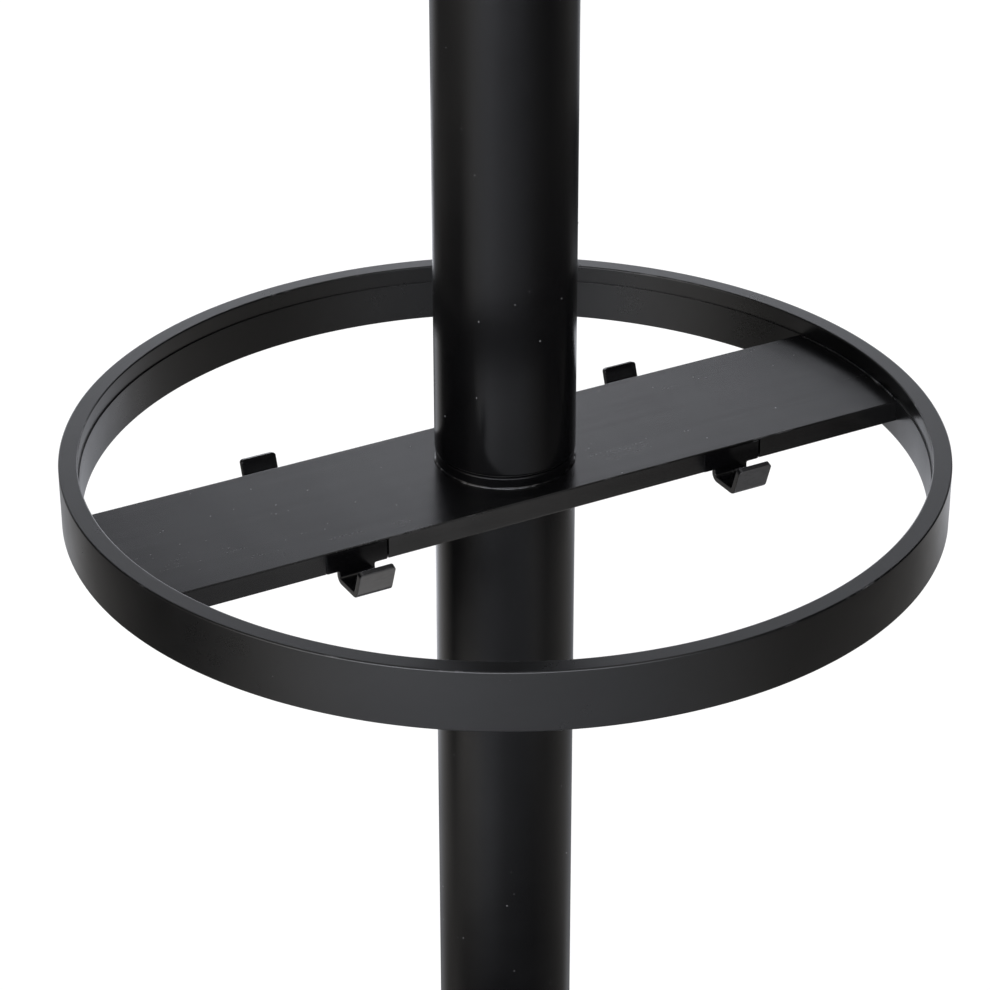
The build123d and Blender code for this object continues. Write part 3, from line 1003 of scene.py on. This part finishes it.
# Soft lights round the rack, seen only in its reflections: name, lower and upper level as seen
# from the ring in degrees, and (azimuth, strength) stops. Azimuth 0 is the camera's side, minus
# is to the left of it and 180 is behind the rack.
LIGHT_DISTANCE = 3.0
LIGHTS = [
    ("low_light", -9.0, 16.0, ((-168, 3.3), (-144, 0.7), (-120, 0), (-72, 0), (-24, 4.4), (0, 3.4),
                               (24, 2.7), (48, 0), (144, 0), (168, 2.9))),
    ("middle_light", 16.0, 38.0, ((-174, 0.6), (-126, 0), (-66, 0), (-54, 0.35), (-42, 0.35),
                                  (-30, 0), (132, 0), (174, 0.6))),
    ("front_high_light", 38.0, 62.0, ((-120, 0), (-72, 0.5), (-48, 0.6), (24, 0.6), (48, 0.5), (96, 0))),
    ("overhead_light", 62.0, 89.5, ((-90, 0.5), (-30, 0.6), (90, 0.6), (150, 0.5))),
]
LIGHT_STEPS = 96
# The floor as the rack reflects it: how far from the post each ring of it begins, and its stops
FLOOR_RINGS = [
    (0.00, ((0, 0.8),)),
    (0.35, ((-168, 0.15), (-144, 0.35), (-120, 0.15), (-96, 0.2), (-72, 0.05), (-24, 0), (48, 0),
            (120, 0.15), (144, 0.35), (168, 0.15))),
    (0.55, ((-168, 0.25), (-144, 0.4), (-96, 0.2), (-48, 0.55), (-24, 0.5), (0, 0.25), (48, 0.1),
            (144, 0.3))),
    (0.72, ((-168, 0.85), (-96, 0.1), (-72, 0.75), (-48, 0.9), (-24, 0.75), (0, 0.4), (24, 0.25),
            (48, 0.25), (72, 0.15), (144, 0.25), (168, 0.4))),
    (0.86, ((-168, 1.4), (-144, 0.7), (-96, 0), (-24, 0), (48, 0.35), (72, 0.15), (120, 0.3),
            (144, 0.25), (168, 0.5))),
    (1.10, ((-168, 0), (-144, 0.7), (-120, 0), (-72, 0), (-48, 0.4), (-24, 0.75), (0, 0.5),
            (24, 0.4), (48, 0.15), (72, 0), (96, 0), (120, 0.1), (144, 1.1), (168, 0.7))),
    (1.45, ((-168, 1.4), (-144, 0.1), (-72, 0), (-48, 0.65), (-24, 0.65), (0, 0.45), (24, 0.2),
            (48, 0), (144, 0), (168, 0.1))),
    (1.60, ((-168, 1.4), (-144, 0.1), (-108, 0.2), (-72, 0.1), (-48, 0.65), (-24, 0.65), (0, 0.45),
            (24, 0.25), (72, 0.1), (144, 0), (168, 0.1))),
    (1.90, ((-168, 0.35), (-144, 0.45), (-120, 0.1), (-96, 0.2), (-48, 0.6), (-24, 0.55), (0, 0.25),
            (24, 0.15), (72, 0.05), (120, 0.2), (144, 0.15), (168, 0.6))),
]
FLOOR_BLEND = 0.05
FLOOR_HALF = 30.0
FLOOR_GLOW = 0.16
PAPER_COLOUR = (0.90, 0.90, 0.90)
CLOUDED_PAPER_COLOUR = (0.92, 0.92, 0.92)
COOL_LIGHT = (0.97, 0.99, 1.06)
WARM_LIGHT = (1.04, 1.00, 0.95)


def light_tint(tree, azimuth):
    """Cool in front of and behind the rack, warm at its sides."""
    side = calc(tree, "ABSOLUTE", calc(tree, "SINE", calc(tree, "MULTIPLY", azimuth, math.pi / 180)))
    return mix_colour(tree, ramp(tree, side, 0.5, 0.95, 0.0, 1.0), COOL_LIGHT, WARM_LIGHT)


def add_stage(name, vertices, faces, material):
    """A piece of the studio, which isn't part of the rack."""
    mesh = bpy.data.meshes.new(name)
    mesh.from_pydata(vertices, [], faces)
    mesh.materials.append(material)
    made = bpy.data.objects.new(name, mesh)
    bpy.context.scene.collection.objects.link(made)
    return made


def make_light(name, bottom, top, stops):
    """A band of soft light round the rack that only reflections see."""
    material, tree = new_material(name + "_glow")
    azimuth, _ = azimuth_and_distance(tree, node(tree, "ShaderNodeNewGeometry").outputs["Position"])
    glow = node(tree, "ShaderNodeEmission")
    link(tree, light_tint(tree, azimuth), glow.inputs["Color"])
    link(tree, around(tree, azimuth, stops), glow.inputs["Strength"])
    output = node(tree, "ShaderNodeOutputMaterial")
    link(tree, glow.outputs[0], output.inputs["Surface"])
    vertices = []
    for step in range(LIGHT_STEPS):
        turn = TAU * step / LIGHT_STEPS
        for level in (math.radians(bottom), math.radians(top)):
            reach = LIGHT_DISTANCE * math.cos(level)
            vertices.append((reach * math.sin(turn), -reach * math.cos(turn),
                             RIM_LEVEL + LIGHT_DISTANCE * math.sin(level)))
    count = len(vertices)
    faces = [(first, (first + 2) % count, (first + 3) % count, first + 1) for first in range(0, count, 2)]
    band = add_stage(name, vertices, faces, material)
    band.visible_camera = False
    band.visible_diffuse = False
    band.visible_shadow = False
    band.visible_transmission = False


def make_world():
    """White studio surroundings; reflections see only the floor and the lights."""
    world = bpy.data.worlds.new("studio")
    world.use_nodes = True
    tree = world.node_tree
    tree.nodes.clear()
    ray = node(tree, "ShaderNodeLightPath")
    light = node(tree, "ShaderNodeBackground", in_Color=(1.0, 1.0, 1.0, 1.0))
    link(tree, ramp(tree, ray.outputs["Is Glossy Ray"], 0.0, 1.0, 1.0, 0.0), light.inputs["Strength"])
    output = node(tree, "ShaderNodeOutputWorld")
    link(tree, light.outputs[0], output.inputs["Surface"])
    bpy.context.scene.world = world


def reflected_floor(tree, place):
    """The light that reflections see on the floor, ring by ring."""
    azimuth, distance = azimuth_and_distance(tree, place)
    seen = around(tree, azimuth, FLOOR_RINGS[0][1])
    for begins, stops in FLOOR_RINGS[1:]:
        past = ramp(tree, distance, begins - FLOOR_BLEND, begins + FLOOR_BLEND, 0.0, 1.0)
        change = calc(tree, "SUBTRACT", around(tree, azimuth, stops), seen)
        seen = calc(tree, "ADD", seen, calc(tree, "MULTIPLY", change, past))
    light = node(tree, "ShaderNodeEmission")
    link(tree, light_tint(tree, azimuth), light.inputs["Color"])
    link(tree, seen, light.inputs["Strength"])
    return light.outputs[0]


def mix_shaders(tree, factor, first, second):
    mix = node(tree, "ShaderNodeMixShader")
    for index, source in enumerate((factor, first, second)):
        link(tree, source, mix.inputs[index])
    return mix.outputs[0]


def make_floor_material():
    """Matt white paper, seen through from beneath; reflections see a studio with few lights on it."""
    material, tree = new_material("floor_paper")
    geometry = node(tree, "ShaderNodeNewGeometry")
    clouds = noise_field(tree, geometry.outputs["Position"], 1.5, 2.0)
    paper = node(tree, "ShaderNodeBsdfDiffuse")
    link(tree, mix_colour(tree, clouds, PAPER_COLOUR, CLOUDED_PAPER_COLOUR), paper.inputs["Color"])
    both = node(tree, "ShaderNodeAddShader")
    link(tree, paper.outputs[0], both.inputs[0])
    link(tree, node(tree, "ShaderNodeEmission", in_Strength=FLOOR_GLOW).outputs[0], both.inputs[1])
    reflected = reflected_floor(tree, geometry.outputs["Position"])
    glossy = node(tree, "ShaderNodeLightPath").outputs["Is Glossy Ray"]
    above = mix_shaders(tree, glossy, both.outputs[0], reflected)
    clear = node(tree, "ShaderNodeBsdfTransparent").outputs[0]
    output = node(tree, "ShaderNodeOutputMaterial")
    link(tree, mix_shaders(tree, geometry.outputs["Backfacing"], above, clear), output.inputs["Surface"])
    return material


def make_floor():
    half = FLOOR_HALF
    corners = [(-half, -half, 0), (half, -half, 0), (half, half, 0), (-half, half, 0)]
    add_stage("floor", corners, [(0, 1, 2, 3)], make_floor_material())


def make_studio():
    make_camera()
    make_world()
    make_floor()
    for light in LIGHTS:
        make_light(*light)
    bpy.context.scene.view_settings.view_transform = "Standard"


make_studio()
